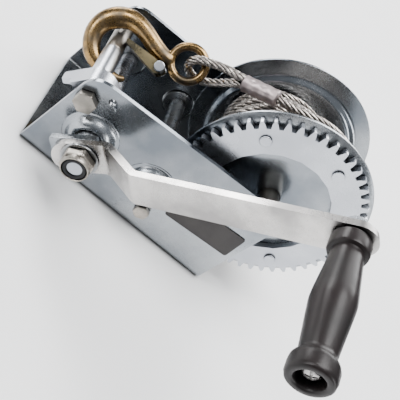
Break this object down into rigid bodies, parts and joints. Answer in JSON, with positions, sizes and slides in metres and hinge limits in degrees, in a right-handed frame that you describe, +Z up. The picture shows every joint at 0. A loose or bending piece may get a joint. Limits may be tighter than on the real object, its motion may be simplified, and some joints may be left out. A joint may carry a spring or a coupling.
{
  "type": "boat trailer winch",
  "caption": "Hand-cranked boat trailer winch: bent steel channel frame, spur gears, rope drum with ratchet and pawl, wound wire rope and a latched hook.",
  "frame": {"origin": "underside of the base, midway along the channel and midway between its side plates", "axes": "+Z up from the base, +X from the crank end towards the drum end, -Y towards the crank handle"},
  "size_m": [0.2214, 0.2657, 0.1644],
  "materials": {
    "zinc_plate": "bright blue-white zinc plating on pressed sheet steel, softly reflective",
    "yellow_zinc": "yellow passivated zinc, golden with faint rainbow tints",
    "turned_steel": "turned steel with a fine machined sheen",
    "grip_plastic": "satin black moulded plastic",
    "nylon": "smooth black nylon",
    "wire_rope": "galvanised stranded wire, dull bright with a thin film of grease",
    "ferrule_metal": "pressed aluminium, matt",
    "label_film": "dark grey self-adhesive film, blank"
  },
  "bodies": {
    "drum": {"drum_gear": "zinc_plate", "drum_flange_near": "zinc_plate", "drum_flange_far": "zinc_plate", "drum_barrel": "zinc_plate", "drum_bush": "turned_steel", "rope_winding": "wire_rope", "drum_rivet_1": "zinc_plate", "drum_rivet_2": "zinc_plate", "drum_rivet_3": "zinc_plate", "drum_rivet_4": "zinc_plate", "drum_rivet_5": "zinc_plate", "drum_rivet_6": "zinc_plate"},
    "layshaft": {"lay_shaft": "turned_steel", "lay_wheel": "zinc_plate", "lay_pinion": "turned_steel", "lay_snap_ring": "zinc_plate"},
    "crank": {"crank_shaft": "turned_steel", "crank_pinion": "turned_steel", "ratchet_wheel": "zinc_plate", "crank_spacer": "turned_steel", "crank_snap_ring": "zinc_plate", "hub_washer": "zinc_plate", "hub_nut": "zinc_plate", "hub_nut_insert": "nylon", "hub_plate": "zinc_plate", "crank_arm": "zinc_plate", "grip_bolt": "turned_steel", "grip_nut": "zinc_plate"},
    "grip": {"crank_grip": "grip_plastic"},
    "pawl": {"pawl": "zinc_plate"},
    "latch": {"hook_latch": "yellow_zinc"},
    "frame": {"frame": "zinc_plate", "crank_bush_near": "yellow_zinc", "crank_bush_far": "turned_steel", "lay_bush_near": "turned_steel", "lay_bush_far": "turned_steel", "drum_axle": "zinc_plate", "drum_axle_nut": "zinc_plate", "drum_axle_spacer": "nylon", "pawl_bolt": "zinc_plate", "pawl_bolt_nut": "zinc_plate", "pawl_bolt_spacer": "turned_steel", "stop_bolt": "zinc_plate", "pawl_spring": "zinc_plate", "hook": "yellow_zinc", "latch_rivet": "zinc_plate", "rope_lead": "wire_rope", "rope_loop": "wire_rope", "rope_ferrule": "ferrule_metal", "rating_label": "label_film"}
  },
  "joints": [
    {"name": "drum_spin", "type": "hinge", "parent": "frame", "child": "drum", "pos_m": [0.0646, 0, 0.08039], "axis": [0, 1, 0], "continuous": true},
    {"name": "lay_spin", "type": "hinge", "parent": "frame", "child": "layshaft", "pos_m": [0.00005, 0, 0.0375], "axis": [0, 1, 0], "continuous": true},
    {"name": "crank_spin", "type": "hinge", "parent": "frame", "child": "crank", "pos_m": [-0.0487, 0, 0.0375], "axis": [0, 1, 0], "continuous": true},
    {"name": "grip_spin", "type": "hinge", "parent": "crank", "child": "grip", "pos_m": [0.0578, -0.11889, 0.15171], "axis": [-0.1348, -0.9803, -0.1446], "continuous": true},
    {"name": "pawl_pivot", "type": "hinge", "parent": "frame", "child": "pawl", "pos_m": [-0.0671, 0, 0.0573], "axis": [0, 1, 0], "range_deg": [-22, 0], "stiffness_Nm_per_rad": 0.03, "springref_deg": 34.38},
    {"name": "latch_pivot", "type": "hinge", "parent": "frame", "child": "latch", "pos_m": [-0.03801, 0.00962, 0.07108], "axis": [-0.3771, -0.7368, 0.5611], "range_deg": [-8, 0], "stiffness_Nm_per_rad": 0.006, "springref_deg": 49.85}
  ],
  "couplings": [
    {"joint": "lay_spin", "follows": "drum_spin", "ratio": -4.1667},
    {"joint": "crank_spin", "follows": "drum_spin", "ratio": 7.4405}
  ]
}
